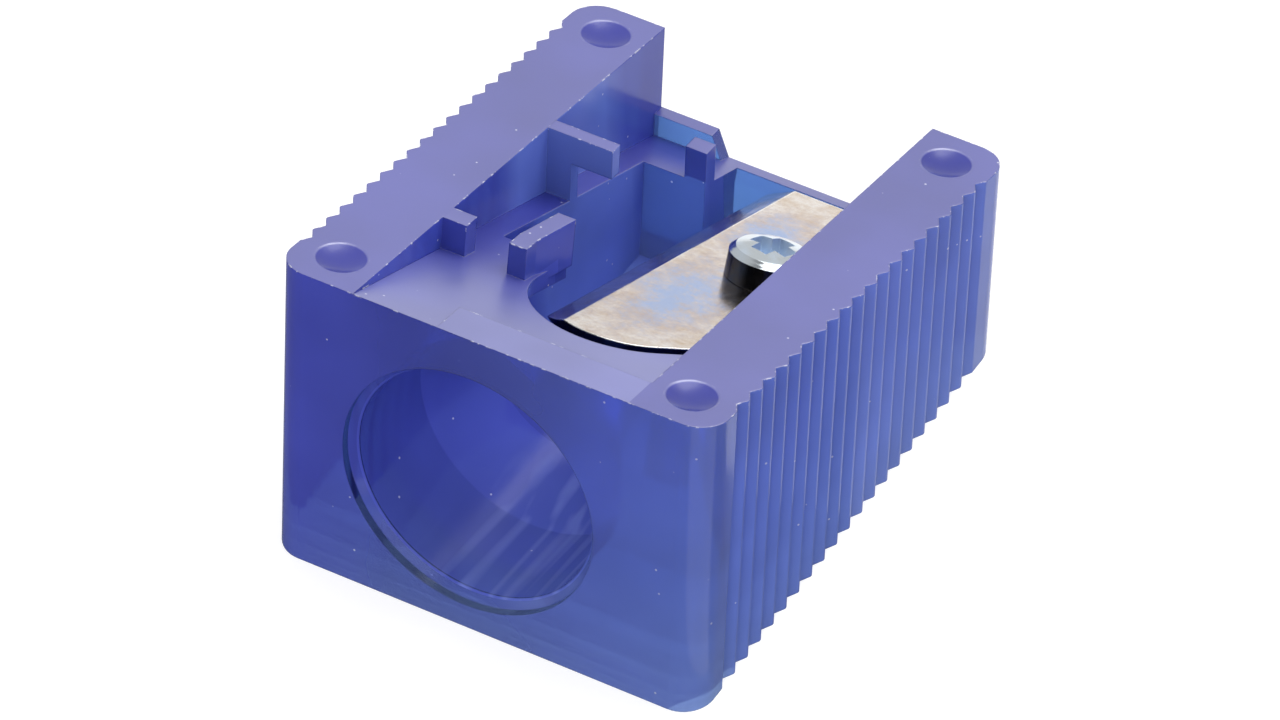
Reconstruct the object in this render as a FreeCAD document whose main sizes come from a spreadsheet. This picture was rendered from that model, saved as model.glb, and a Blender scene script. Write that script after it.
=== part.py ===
import FreeCAD, Part
import os
import Sketcher

# Block sharpener for one thick pencil: a ribbed, wedge-shaped moulding, a steel blade and its screw.
# Lengths are millimetres and angles are degrees. Three frames are used, all with X to the right:
#   hole frame   origin on the front lower edge, Y from the front face along the pencil hole
#   rail frame   origin on the front top edge, Y down the slope of the rail tops
#   floor frame  origin on the front top edge, Y down the steeper valley floor, which holds the blade
# The part stands on its sloping base, which is turned level when the pieces are placed.

DOC = FreeCAD.newDocument("block_sharpener")
DIMS = DOC.addObject("Spreadsheet::Sheet", "dims")

SIZES = (
    ("blade_length", 24.0, "blade, nose to tail"),
    ("blade_width", 8.0, "blade, cutting edge to back"),
    ("blade_thickness", 0.7, "blade, and the depth of its seat"),
    ("bevel_width", 1.4, "ground bevel along the cutting edge"),
    ("edge_land", 0.03, "thickness left at the cutting edge"),
    ("nose_radius", 3.95, "rounded front end of the blade"),
    ("nose_side", 3.08, "centre of the nose from the cutting edge"),
    ("nose_margin", 5.6, "front top edge to the blade's nose, down the floor"),
    ("nose_gap", 0.85, "recess in front of the nose"),
    ("blade_side_gap", 0.16, "blade's back to the right rail"),
    ("blade_end_gap", 0.15, "blade's tail to the rear wall"),
    ("seat_gap", 0.02, "under the blade and under the screw's head"),
    ("rear_wall", 0.85, "wall behind the blade's tail"),
    ("chip_width", 6.76, "cutting edge to the left rail"),
    ("rail_width", 4.34, "each rail, over the ribs"),
    ("corner_radius", 1.6, "upright outer corners"),
    ("rib_depth", 0.32, "groove between two ribs"),
    ("rib_pitch", 1.217, "rib to rib"),
    ("rib_tip", 0.12, "flat on the tip of a rib"),
    ("rib_margin", 2.94, "end faces to the nearest groove"),
    ("dimple_radius", 1.315, "finger dimple in a rail end"),
    ("dimple_depth", 0.28, "finger dimple at its middle"),
    ("dimple_inset", 2.29, "end of the rail to the dimple's middle"),
    ("bore_radius", 6.39, "straight part of the pencil hole"),
    ("bore_depth", 6.35, "front face to the start of the cone"),
    ("bore_floor", 1.75, "wall under the hole at the front face"),
    ("rim_step", 0.44, "step of the wider mouth"),
    ("rim_depth", 0.45, "straight wall of the mouth"),
    ("lead_depth", 0.35, "taper from the mouth to the hole"),
    ("edge_lead", 0.3, "hole's axis to the cutting edge, sideways"),
    ("top_fall", 5.56, "slope of the rail tops to the hole's axis"),
    ("floor_fall", 17.46, "slope of the blade, the floor and the cone"),
    ("base_rise", 6.31, "slope of the base to the hole's axis"),
    ("landing_depth", 2.1, "level strip along the front top edge"),
    ("landing_start", 2.2, "landing's left end from the cutting edge"),
    ("slot_gap", 1.93, "shaving slot, left of the cutting edge"),
    ("slot_under", 1.9, "shaving slot, under the blade"),
    ("slot_depth", 3.0, "shaving slot below the floor"),
    ("ledge", 1.36, "strip of floor along the left rail"),
    ("pocket_front", 11.6, "front face to the chip pocket"),
    ("pocket_base", 0.8, "thickness under the chip pocket"),
    ("cross_wall", 4.04, "rear face to the pocket's rear wall"),
    ("cradle", 0.9, "cone kept to the left of the hole's axis"),
    ("tip_room", 1.3, "opening to the right of the cone's tip"),
    ("tip_run", 3.7, "opening in front of the cone's tip"),
    ("tab_front", 8.15, "front face to the tab"),
    ("tab_straight", 0.95, "front part of the tab, along the hole"),
    ("tab_length", 3.65, "whole tab, along the hole"),
    ("tab_thickness", 0.97, "tab, across"),
    ("tab_set", 0.21, "tab's front part from the slot"),
    ("tab_lean", 0.55, "rear end of the tab to the right"),
    ("tab_height", 2.6, "tab below the rail tops"),
    ("post_width", 1.31, "post on the left rail, across"),
    ("post_thickness", 1.0, "post on the left rail, along the hole"),
    ("fin_front", 17.92, "front face to the fin"),
    ("fin_thickness", 0.7, "fin, along the hole"),
    ("fin_reach", 3.61, "fin, out from the left rail"),
    ("fin_height", 1.65, "free part of the fin"),
    ("stub_width", 1.18, "stub post on the cross wall, across"),
    ("stub_thickness", 0.9, "stub post, along the hole"),
    ("stub_height", 1.9, "stub post above the floor"),
    ("weir_width", 3.29, "raised rear wall, top edge"),
    ("weir_slope", 0.62, "sloping end of the raised rear wall"),
    ("weir_height", 1.5, "raised rear wall above the floor"),
    ("weir_thickness", 0.7, "raised rear wall"),
    ("screw_back", 2.4, "screw from the blade's back"),
    ("screw_run", 13.0, "screw from the blade's nose"),
    ("shank_radius", 1.1, "screw's shank over the thread"),
    ("shank_depth", 5.2, "shank below the seat"),
    ("shank_point", 0.35, "chamfer on the shank's end"),
    ("thread_gap", 0.05, "shank to its hole in the moulding"),
    ("hole_spare", 0.5, "hole below the shank's end"),
    ("blade_hole_gap", 0.15, "shank to its hole in the blade"),
    ("head_radius", 2.08, "screw's head"),
    ("head_height", 1.82, "screw's head, over its crown"),
    ("head_crown", 0.3, "rise of the head's domed top"),
    ("head_chamfer", 0.3, "edge of the head's top"),
    ("recess_reach", 1.15, "arm of the cross recess"),
    ("recess_width", 1.05, "width of an arm"),
    ("recess_depth", 1.0, "depth of the cross recess"),
    ("recess_taper", 16.0, "lean of the recess's walls"),
    ("recess_turn", 13.0, "turn of the cross from straight along the blade"),
)

# Sizes that follow from the driving ones, as expressions on the sheet.
TAIL = "(dims.nose_margin + dims.blade_length)"
RECESS_END = f"({TAIL} + dims.blade_end_gap)"
LENGTH = f"(({RECESS_END} + dims.rear_wall) * cos(dims.floor_fall))"
FRONT = (
    "(dims.bore_floor + 2 * dims.bore_radius + dims.bore_depth * tan(dims.floor_fall)"
    " + dims.blade_thickness / cos(dims.floor_fall))"
)
BORE_Z = "(dims.bore_floor + dims.bore_radius)"
CONE_TIP = "(dims.bore_depth + dims.bore_radius / tan(dims.floor_fall))"
HALF_VALLEY = "((dims.chip_width + dims.blade_width + dims.blade_side_gap) / 2)"
HALF_WIDTH = f"({HALF_VALLEY} + dims.rail_width)"
BACK_X = f"({HALF_VALLEY} - dims.blade_side_gap)"
EDGE_X = f"({BACK_X} - dims.blade_width)"
BORE_X = f"({EDGE_X} - dims.edge_lead)"
SLOT_LEFT = f"({EDGE_X} - dims.slot_gap)"
SLOT_RIGHT = f"({EDGE_X} + dims.slot_under)"
SEAT_DEPTH = "(dims.blade_thickness + dims.seat_gap)"
POCKET_REAR = f"({LENGTH} - dims.cross_wall)"
NOSE_Y = "(dims.nose_margin + dims.nose_radius)"
SCREW_X = f"({BACK_X} - dims.screw_back)"
SCREW_Y = "(dims.nose_margin + dims.screw_run)"
STANDING_DEPTH = (
    f"({LENGTH} * cos(dims.base_rise)"
    f" + ({FRONT} - {LENGTH} * tan(dims.top_fall)) * sin(dims.base_rise))"
)
PAST = "dims.rail_width"


def top_at(run):
    """Height of the rail tops above the front lower edge, at a distance from the front face."""
    return f"({FRONT} - {run} * tan(dims.top_fall))"


def floor_at(run):
    """Height of the valley floor, at a distance from the front face."""
    return f"({FRONT} - {run} * tan(dims.floor_fall))"


def base_at(run):
    """Height of the sloping base, at a distance from the front face."""
    return f"({run} * tan(dims.base_rise))"


def fill_sheet():
    """Write one row per driving size: its name, its value and what it is."""
    for row, (name, size, note) in enumerate(SIZES, start=1):
        DIMS.set(f"A{row}", name)
        DIMS.set(f"B{row}", str(size))
        DIMS.set(f"C{row}", note)
        DIMS.setAlias(f"B{row}", name)
    DOC.recompute()


def number(expression):
    """Value of an expression on the sheet."""
    value = DIMS.evalExpression(expression)
    return float(getattr(value, "Value", value))


def new_body(name):
    """Empty body whose label names its file."""
    body = DOC.addObject("PartDesign::Body", name)
    body.Label = name
    return body


def new_sketch(body, name, role, base=("0", "0", "0"), turn=None):
    """Sketch on an origin plane of its body, moved by base and turned about one of the plane's own axes."""
    sketch = body.newObject("Sketcher::SketchObject", name)
    plane = next(item for item in body.Origin.OriginFeatures if item.Role == role)
    sketch.AttachmentSupport = (plane, [""])
    sketch.MapMode = "FlatFace"
    if turn:
        axis, angle = turn
        spin = FreeCAD.Rotation(FreeCAD.Vector(*axis), number(angle))
        sketch.AttachmentOffset = FreeCAD.Placement(FreeCAD.Vector(), spin)
        sketch.setExpression("AttachmentOffset.Rotation.Angle", angle)
    for letter, expression in zip("xyz", base):
        sketch.setExpression(f"AttachmentOffset.Base.{letter}", expression)
    return sketch


def floor_sketch(body, name):
    """Sketch in the plane of the valley floor, for a body drawn in the hole frame."""
    return new_sketch(body, name, "XY_Plane", ("0", "0", FRONT), ((1, 0, 0), "-dims.floor_fall"))


def rail_sketch(body, name):
    """Sketch in the plane of the rail tops, for a body drawn in the hole frame."""
    return new_sketch(body, name, "XY_Plane", ("0", "0", FRONT), ((1, 0, 0), "-dims.top_fall"))


def bind(sketch, kind, geometry, place, expression):
    """Constrain one coordinate of a point, measured from the sketch's origin, to the sheet."""
    index = sketch.addConstraint(Sketcher.Constraint(kind, -1, 1, geometry, place, number(expression)))
    sketch.setExpression(f"Constraints[{index}]", expression)


def bind_radius(sketch, geometry, expression):
    """Constrain the radius of a circle or arc to the sheet."""
    index = sketch.addConstraint(Sketcher.Constraint("Radius", geometry, number(expression)))
    sketch.setExpression(f"Constraints[{index}]", expression)


def arc_between(start, end, radius):
    """Arc under half a circle that bulges to the right of the way from start to end."""
    chord = end - start
    half = chord.Length / 2
    outward = FreeCAD.Vector(chord.y, -chord.x, 0).normalize()
    height = radius - (radius ** 2 - half ** 2) ** 0.5
    return Part.ArcOfCircle(start, (start + end) * 0.5 + outward * height, end)


def outline(sketch, corners, arcs=None):
    """Closed outline through corners. A side whose number is in arcs is an arc of that radius."""
    arcs = arcs or {}
    spots = [FreeCAD.Vector(number(across), number(along), 0) for across, along in corners]
    sides = []
    for side, start in enumerate(spots):
        end = spots[(side + 1) % len(spots)]
        if side in arcs:
            curve = arc_between(start, end, number(arcs[side]))
            index = sketch.addGeometry(curve, False)
            bind_radius(sketch, index, arcs[side])
            forward = (curve.StartPoint - start).Length < (curve.EndPoint - start).Length
            sides.append((index, 1, 2) if forward else (index, 2, 1))
        else:
            sides.append((sketch.addGeometry(Part.LineSegment(start, end), False), 1, 2))
    for side, (index, first, last) in enumerate(sides):
        following, its_first, _ = sides[(side + 1) % len(sides)]
        sketch.addConstraint(Sketcher.Constraint("Coincident", index, last, following, its_first))
        bind(sketch, "DistanceX", index, first, corners[side][0])
        bind(sketch, "DistanceY", index, first, corners[side][1])


def circle(sketch, across, along, radius):
    """Circle about a point given by two expressions."""
    middle = FreeCAD.Vector(number(across), number(along), 0)
    index = sketch.addGeometry(Part.Circle(middle, FreeCAD.Vector(0, 0, 1), number(radius)), False)
    bind(sketch, "DistanceX", index, 3, across)
    bind(sketch, "DistanceY", index, 3, along)
    bind_radius(sketch, index, radius)


def extrude(body, kind, name, sketch, length=None, side="Symmetric", reverse=False):
    """Pad or Pocket of a sketch. With no length, a pocket runs right through."""
    feature = body.newObject(f"PartDesign::{kind}", name)
    feature.Profile = sketch
    feature.SideType = side
    feature.Reversed = reverse
    if length is None:
        feature.Type = "ThroughAll"
    else:
        feature.setExpression("Length", length)
    DOC.recompute()
    return feature


def revolve(body, kind, name, sketch, axis):
    """Revolution or Groove of a sketch, all the way round one of the sketch's own axes."""
    feature = body.newObject(f"PartDesign::{kind}", name)
    feature.Profile = sketch
    feature.ReferenceAxis = (sketch, [axis])
    feature.Angle = 360
    DOC.recompute()
    return feature


def add_blank(body):
    """Wedge block with rounded upright corners and a row of vertical grooves down each side."""
    side = new_sketch(body, "side_view", "YZ_Plane")
    outline(side, [("0", "0"), ("0", FRONT), (LENGTH, top_at(LENGTH)), (LENGTH, base_at(LENGTH))])
    block = extrude(body, "Pad", "block", side, f"2 * {HALF_WIDTH}")

    upright = []
    for count, edge in enumerate(block.Shape.Edges, start=1):
        run = edge.Vertexes[0].Point - edge.Vertexes[1].Point
        if abs(run.x) + abs(run.y) < Part.Precision.confusion():
            upright.append(f"Edge{count}")
    corners = body.newObject("PartDesign::Fillet", "corners")
    corners.Base = (block, upright)
    corners.setExpression("Radius", "dims.corner_radius")
    DOC.recompute()

    mouth = "((dims.rib_pitch - dims.rib_tip) / 2)"
    ribs = new_sketch(body, "rib_groove", "XY_Plane")
    for sign in ("", "-"):
        face = f"{sign}{HALF_WIDTH}"
        valley = f"{sign}({HALF_WIDTH} - dims.rib_depth)"
        beyond = f"{sign}({HALF_WIDTH} + dims.rib_depth)"
        front = f"(dims.rib_margin - {mouth})"
        rear = f"(dims.rib_margin + {mouth})"
        groove_mouth = [(face, rear), (beyond, rear), (beyond, front), (face, front)]
        outline(ribs, [(valley, "dims.rib_margin")] + groove_mouth)
    groove = extrude(body, "Pocket", "groove", ribs)
    row = body.newObject("PartDesign::LinearPattern", "grooves")
    row.Originals = [groove]
    row.Direction = (next(item for item in body.Origin.OriginFeatures if item.Role == "Y_Axis"), [""])
    steps = f"floor(({LENGTH} - 2 * dims.rib_margin) / dims.rib_pitch)"
    row.setExpression("Length", f"{steps} * dims.rib_pitch")
    row.setExpression("Occurrences", f"{steps} + 1")
    body.Tip = row
    DOC.recompute()


def cut_valley(body):
    """Sloping valley between the rails, which leaves a level landing along the front edge."""
    landing = f"({EDGE_X} - dims.landing_start)"
    cuts = (
        ("valley_left", f"-{HALF_VALLEY}", landing, "0"),
        ("valley_right", landing, HALF_VALLEY, "dims.landing_depth"),
    )
    beyond = f"({LENGTH} + {PAST})"
    above = f"({FRONT} + {PAST})"
    for name, left, right, start in cuts:
        view = new_sketch(body, f"{name}_view", "YZ_Plane", ("0", "0", f"({left} + {right}) / 2"))
        floor = [(start, floor_at(start)), (beyond, floor_at(beyond))]
        outline(view, floor + [(beyond, above), (start, above)])
        extrude(body, "Pocket", name, view, f"{right} - ({left})")


def cut_blade_seat(body):
    """Recess that the blade lies in, flush with the floor, and the shaving slot along its edge."""
    reach = "(dims.nose_radius + dims.nose_gap)"
    middle = f"({SLOT_LEFT} + {reach})"
    slant_x = f"({middle} + {reach} * cos(45))"
    slant_y = f"({NOSE_Y} - {reach} * sin(45))"
    seat = floor_sketch(body, "seat_view")
    outline(
        seat,
        [
            (SLOT_LEFT, RECESS_END),
            (SLOT_LEFT, NOSE_Y),
            (slant_x, slant_y),
            (HALF_VALLEY, f"{slant_y} + {HALF_VALLEY} - {slant_x}"),
            (HALF_VALLEY, RECESS_END),
        ],
        {1: reach},
    )
    extrude(body, "Pocket", "seat", seat, f"2 * {SEAT_DEPTH}")

    slot = floor_sketch(body, "slot_view")
    front = f"{NOSE_Y} - sqrt({reach} ^ 2 - ({middle} - {SLOT_RIGHT}) ^ 2)"
    corners = [(SLOT_LEFT, RECESS_END), (SLOT_LEFT, NOSE_Y), (SLOT_RIGHT, front), (SLOT_RIGHT, RECESS_END)]
    outline(slot, corners, {1: reach})
    extrude(body, "Pocket", "slot", slot, "2 * dims.slot_depth")


def cut_chip_pocket(body):
    """Deep pocket left of the blade, open to the cone, with a thin wall left over the base."""
    left = f"(dims.ledge - {HALF_VALLEY})"
    cradle = f"({BORE_X} - dims.cradle)"
    tip_side = f"({BORE_X} + dims.tip_room)"
    tip_front = f"({CONE_TIP} - dims.tip_run)"
    rear = f"({RECESS_END} * cos(dims.floor_fall) - {SEAT_DEPTH} * sin(dims.floor_fall))"
    plan = new_sketch(body, "pocket_plan", "XY_Plane")
    outline(
        plan,
        [
            (left, "dims.pocket_front"),
            (left, POCKET_REAR),
            (SLOT_LEFT, POCKET_REAR),
            (SLOT_LEFT, rear),
            (tip_side, rear),
            (tip_side, tip_front),
            (cradle, tip_front),
            (cradle, "dims.pocket_front"),
        ],
    )
    extrude(body, "Pocket", "pocket", plan)

    front = "dims.pocket_front"
    thick = "dims.pocket_base / cos(dims.base_rise)"
    view = new_sketch(body, "pocket_base_view", "YZ_Plane", ("0", "0", f"({left} + {tip_side}) / 2"))
    outline(
        view,
        [
            (front, base_at(front)),
            (rear, base_at(rear)),
            (rear, f"{base_at(rear)} + {thick}"),
            (front, f"{base_at(front)} + {thick}"),
        ],
    )
    extrude(body, "Pad", "pocket_base", view, f"{tip_side} - ({left})")


def cut_pencil_hole(body):
    """Round hole with a stepped mouth, then the cone whose top line lies in the blade's plane."""
    lead = "(dims.rim_depth + dims.lead_depth)"
    half = new_sketch(body, "hole_half", "YZ_Plane", ("0", BORE_Z, BORE_X))
    outline(
        half,
        [
            (f"-{PAST}", "0"),
            (CONE_TIP, "0"),
            ("dims.bore_depth", "dims.bore_radius"),
            (lead, "dims.bore_radius"),
            ("dims.rim_depth", "dims.bore_radius + dims.rim_step"),
            (f"-{PAST}", "dims.bore_radius + dims.rim_step"),
        ],
    )
    revolve(body, "Groove", "pencil_hole", half, "H_Axis")


def cut_screw_hole(body):
    """Blind hole for the blade's screw, square to the seat."""
    view = floor_sketch(body, "screw_hole_view")
    circle(view, SCREW_X, SCREW_Y, "dims.shank_radius + dims.thread_gap")
    depth = f"({SEAT_DEPTH} + dims.shank_depth + dims.hole_spare)"
    extrude(body, "Pocket", "screw_hole", view, f"2 * {depth}")


def cut_dimples(body):
    """Dished finger dimple at each end of each rail."""
    across = f"({HALF_VALLEY} + (dims.rail_width - dims.rib_depth) / 2)"
    ball = "((dims.dimple_radius ^ 2 + dims.dimple_depth ^ 2) / (2 * dims.dimple_depth))"
    for sign, side in (("-", "left"), ("", "right")):
        for end, along in (("front", "dims.dimple_inset"), ("rear", f"({LENGTH} - dims.dimple_inset)")):
            name = f"dimple_{side}_{end}"
            base = (along, top_at(along), f"{sign}{across}")
            dish = new_sketch(body, f"{name}_half", "YZ_Plane", base, ((0, 0, 1), "-dims.top_fall"))
            outline(
                dish,
                [
                    ("0", "-dims.dimple_depth"),
                    ("dims.dimple_radius", "0"),
                    ("dims.dimple_radius", "dims.dimple_radius"),
                    ("0", "dims.dimple_radius"),
                ],
                {0: ball},
            )
            revolve(body, "Groove", name, dish, "V_Axis")


def add_tab_and_post(body):
    """Bent tab beside the shaving slot and the post on the left rail, both level with the rail tops."""
    tab_right = f"({SLOT_LEFT} - dims.tab_set)"
    tab_left = f"({tab_right} - dims.tab_thickness)"
    front = "dims.tab_front / cos(dims.top_fall)"
    bend = f"{front} + dims.tab_straight"
    rear = f"{front} + dims.tab_length"
    tab = rail_sketch(body, "tab_view")
    outline(
        tab,
        [
            (tab_left, front),
            (tab_right, front),
            (tab_right, bend),
            (f"{tab_right} + dims.tab_lean", rear),
            (f"{tab_left} + dims.tab_lean", rear),
            (tab_left, bend),
        ],
    )
    extrude(body, "Pad", "tab", tab, "dims.tab_height", "One side", True)

    wall = f"-{HALF_VALLEY}"
    post = rail_sketch(body, "post_view")
    free = f"{wall} + dims.post_width"
    back = f"{front} + dims.post_thickness"
    outline(post, [(wall, front), (free, front), (free, back), (wall, back)])
    extrude(body, "Pad", "post", post, "dims.tab_height", "One side", True)


def add_cross_piece(body, name, corners, start, thickness):
    """Upright piece across the valley, drawn as seen from the front, from start backwards."""
    view = new_sketch(body, f"{name}_view", "XZ_Plane", ("0", "0", f"-({start} + {thickness} / 2)"))
    outline(view, corners)
    extrude(body, "Pad", name, view, thickness)


def add_cross_pieces(body):
    """Fin over the pocket, stub post on the cross wall and the raised part of the rear wall."""
    wall = f"-{HALF_VALLEY}"
    shelf = f"{wall} + dims.ledge"
    fin_top = top_at("dims.fin_front")
    fin_foot = floor_at("(dims.fin_front + dims.fin_thickness)")
    fin_under = f"{fin_top} - dims.fin_height"
    fin_end = f"{wall} + dims.fin_reach"
    fin_root = [(wall, fin_top), (wall, fin_foot), (shelf, fin_foot), (shelf, fin_under)]
    fin = fin_root + [(fin_end, fin_under), (fin_end, fin_top)]
    add_cross_piece(body, "fin", fin, "dims.fin_front", "dims.fin_thickness")

    stub_foot = floor_at(f"({POCKET_REAR} + dims.stub_thickness)")
    stub_top = f"{floor_at(POCKET_REAR)} + dims.stub_height"
    stub_left = f"{SLOT_LEFT} - dims.stub_width"
    stub = [(stub_left, stub_foot), (SLOT_LEFT, stub_foot), (SLOT_LEFT, stub_top), (stub_left, stub_top)]
    add_cross_piece(body, "stub", stub, POCKET_REAR, "dims.stub_thickness")

    weir_foot = floor_at(LENGTH)
    weir_top = f"{weir_foot} + dims.weir_height"
    weir_end = f"{wall} + dims.weir_width"
    weir_toe = f"{weir_end} + dims.weir_slope"
    weir = [(wall, weir_foot), (weir_toe, weir_foot), (weir_end, weir_top), (wall, weir_top)]
    add_cross_piece(body, "weir", weir, f"({LENGTH} - dims.weir_thickness)", "dims.weir_thickness")


def make_body():
    """The moulding, turned so that its base is level."""
    body = new_body("body")
    add_blank(body)
    cut_valley(body)
    cut_blade_seat(body)
    cut_chip_pocket(body)
    cut_pencil_hole(body)
    cut_screw_hole(body)
    cut_dimples(body)
    add_tab_and_post(body)
    add_cross_pieces(body)
    stand(body, "0", "0", "0", "0")
    return body


def make_blade():
    """Ground blade with its top in the floor plane, drawn in the floor frame."""
    body = new_body("blade")
    middle = f"({EDGE_X} + dims.nose_side)"
    nose_left = f"{NOSE_Y} - sqrt(dims.nose_radius ^ 2 - dims.nose_side ^ 2)"
    slant_x = f"({middle} + dims.nose_radius * cos(45))"
    slant_y = f"({NOSE_Y} - dims.nose_radius * sin(45))"
    plan = new_sketch(body, "blade_plan", "XY_Plane")
    outline(
        plan,
        [
            (EDGE_X, TAIL),
            (EDGE_X, nose_left),
            (slant_x, slant_y),
            (BACK_X, f"{slant_y} + {BACK_X} - {slant_x}"),
            (BACK_X, TAIL),
        ],
        {1: "dims.nose_radius"},
    )
    extrude(body, "Pad", "plate", plan, "dims.blade_thickness", "One side", True)

    edge = "dims.edge_land - dims.blade_thickness"
    inner = f"{EDGE_X} + dims.bevel_width"
    outer = f"{EDGE_X} - dims.bevel_width"
    above = "dims.blade_thickness"
    bevel = new_sketch(body, "bevel_view", "XZ_Plane")
    outline(bevel, [(EDGE_X, edge), (inner, "0"), (inner, above), (outer, above), (outer, edge)])
    extrude(body, "Pocket", "bevel", bevel)

    hole = new_sketch(body, "blade_hole_view", "XY_Plane")
    circle(hole, SCREW_X, SCREW_Y, "dims.shank_radius + dims.blade_hole_gap")
    extrude(body, "Pocket", "blade_hole", hole)
    stand(body, "0", "0", FRONT, "dims.floor_fall")
    return body


def make_screw():
    """Pan-head screw on the blade, drawn about its own axis with the floor plane at zero."""
    body = new_body("blade_screw")
    end = "-(dims.blade_thickness + dims.seat_gap + dims.shank_depth)"
    under = "dims.seat_gap"
    top = "dims.seat_gap + dims.head_height"
    shoulder = f"{top} - dims.head_crown"
    rim = "(dims.head_radius - dims.head_chamfer)"
    dome = f"({rim} ^ 2 + dims.head_crown ^ 2) / (2 * dims.head_crown)"
    half = new_sketch(body, "screw_half", "XZ_Plane")
    outline(
        half,
        [
            ("0", end),
            ("dims.shank_radius - dims.shank_point", end),
            ("dims.shank_radius", f"{end} + dims.shank_point"),
            ("dims.shank_radius", under),
            ("dims.head_radius", under),
            ("dims.head_radius", f"{shoulder} - dims.head_chamfer"),
            (rim, shoulder),
            ("0", top),
        ],
        {6: dome},
    )
    revolve(body, "Revolution", "turned_screw", half, "V_Axis")

    arm = "dims.recess_reach"
    side = "dims.recess_width / 2"
    quarter = [(arm, f"-{side}"), (arm, side), (side, side)]
    corners = []
    for _ in range(4):
        corners += quarter
        quarter = [(f"-({along})", across) for across, along in quarter]
    cross = new_sketch(body, "recess_view", "XY_Plane", ("0", "0", top), ((0, 0, 1), "-dims.recess_turn"))
    outline(cross, corners)
    recess = extrude(body, "Pocket", "cross_recess", cross, "dims.recess_depth", "One side")
    recess.setExpression("TaperAngle", "-dims.recess_taper")
    along = f"{SCREW_Y} * cos(dims.floor_fall)"
    stand(body, SCREW_X, along, floor_at(along), "dims.floor_fall")
    return body


def stand(body, across, along, height, fall):
    """Place a body by its origin in the hole frame, tilted by its own fall, on the level base."""
    body.Placement = FreeCAD.Placement(FreeCAD.Vector(), FreeCAD.Rotation(FreeCAD.Vector(1, 0, 0), 1))
    lean = "dims.base_rise"
    body.setExpression("Placement.Rotation.Angle", f"-({lean} + {fall})")
    body.setExpression("Placement.Base.x", across)
    body.setExpression(
        "Placement.Base.y", f"({along}) * cos({lean}) + ({height}) * sin({lean}) - {STANDING_DEPTH} / 2"
    )
    body.setExpression("Placement.Base.z", f"({height}) * cos({lean}) - ({along}) * sin({lean})")


def check(pieces):
    """Stop if any feature failed or any piece is empty or broken."""
    for item in DOC.Objects:
        if "Invalid" in item.State or "Error" in item.State:
            raise RuntimeError(f"{item.Name} failed: {item.State}")
    for piece in pieces:
        shape = piece.Shape
        if shape.isNull() or not shape.isValid() or len(shape.Solids) != 1:
            raise RuntimeError(f"{piece.Label} is not one sound solid")


def main():
    fill_sheet()
    pieces = [make_body(), make_blade(), make_screw()]
    DOC.recompute()
    check(pieces)
    os.makedirs("parts", exist_ok=True)
    for piece in pieces:
        box = piece.Shape.BoundBox
        print(f"{piece.Label}: volume {piece.Shape.Volume:.2f}, box {box}")
        piece.Shape.exportStep(f"parts/{piece.Label}.step")


main()
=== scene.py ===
from math import radians, tau
from types import SimpleNamespace

import bpy
from mathutils import Matrix, Vector

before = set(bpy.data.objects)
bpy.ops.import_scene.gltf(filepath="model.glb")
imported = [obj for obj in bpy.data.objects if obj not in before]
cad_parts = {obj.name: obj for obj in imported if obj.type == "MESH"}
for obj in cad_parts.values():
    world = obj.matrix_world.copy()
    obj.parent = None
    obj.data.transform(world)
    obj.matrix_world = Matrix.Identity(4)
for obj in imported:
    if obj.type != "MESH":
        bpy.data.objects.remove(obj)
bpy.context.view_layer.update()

bl_info = {
    "name": "Block Pencil Sharpener",
    "version": (1, 0, 0),
    "blender": (4, 5, 0),
    "location": "View3D > Sidebar > Sharpener",
    "description": "Finishes a one-hole block sharpener with its moulding, blade and screw, and lights it",
    "category": "Object",
}

MM = 0.001

# Planes of the moulding: the valley floor, on which the blade lies, and the rail tops.
FLOOR_SLOPE = radians(23.77)
FLOOR_UP = (0, 0.40307, 0.91517)
FLOOR_LEVEL = 10.299 * MM
RAIL_UP = (0, 0.20569, 0.97862)
RAIL_LEVEL = 14.032 * MM
RAIL_INSIDE = 7.4 * MM

# Places along the moulding, from its front to its rear, and across it. A pair of places is where a change of
# finish begins and where it is complete.
FRONT_WALL = (-12.5 * MM, -11.5 * MM)
VALLEY_FRONT = (-9 * MM, -4 * MM)
POCKET_MIDDLE = 5.5 * MM
POCKET_REACH = (4 * MM, 6 * MM)
REAR_WALL = (12.2 * MM, 12.6 * MM)
SIDE_REACH = 12 * MM
LEFT_PART = (-SIDE_REACH, -5 * MM)

# The pencil's bore: the middle of its length, its rise towards the mouth, its radius and its end, the part at
# its lower right that gets painted highlight streaks, and the step at its mouth.
BORE_MIDDLE = (-1.0 * MM, -10.8511 * MM, 7.6978 * MM)
BORE_RISE = radians(6.31)
BORE_RADIUS = 6.39 * MM
BORE_END = 7 * MM
HIGHLIGHT_STREAK_PART = (2 * MM, 6 * MM)
STEP_RADIUS = BORE_RADIUS + 0.55 * MM
STEP_END = -2.7 * MM

# A face whose outward direction along the part is less than this looks to the front.
TO_THE_FRONT = -0.5

# The plastic's surface: the sizes of its clouds, flow marks, grain, chips and streaks, and the space that
# each nick has.
CLOUD_SIZE = 6 * MM
FLOW_SIZE = 1.1 * MM
GRAIN_SIZE = 0.14 * MM
CHIP_SIZE = 0.35 * MM
STREAK_SIZE = (0.8 * MM, 20 * MM, 0.8 * MM)
NICK_SPACING = 1.25 * MM

# The blade's heat tint: centre and reach, in millimetres, of the two blue islands in front of the screw and
# behind it, and the sizes of the noise that breaks them up and of the straw mottles.
TINT_ISLANDS = (((3.0, -1.2, 11.8), (2.6, 5.4, 2.0)), ((2.6, 8.0, 7.8), (1.9, 3.4, 2.0)))
FRAY_SIZE = 1.1 * MM
MOTTLE_SIZE = 1.4 * MM
GRINDING_SIZE = (0.1 * MM, 1.6 * MM, 0.1 * MM)
BLADE_EDGE = 0.14 * MM

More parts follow.
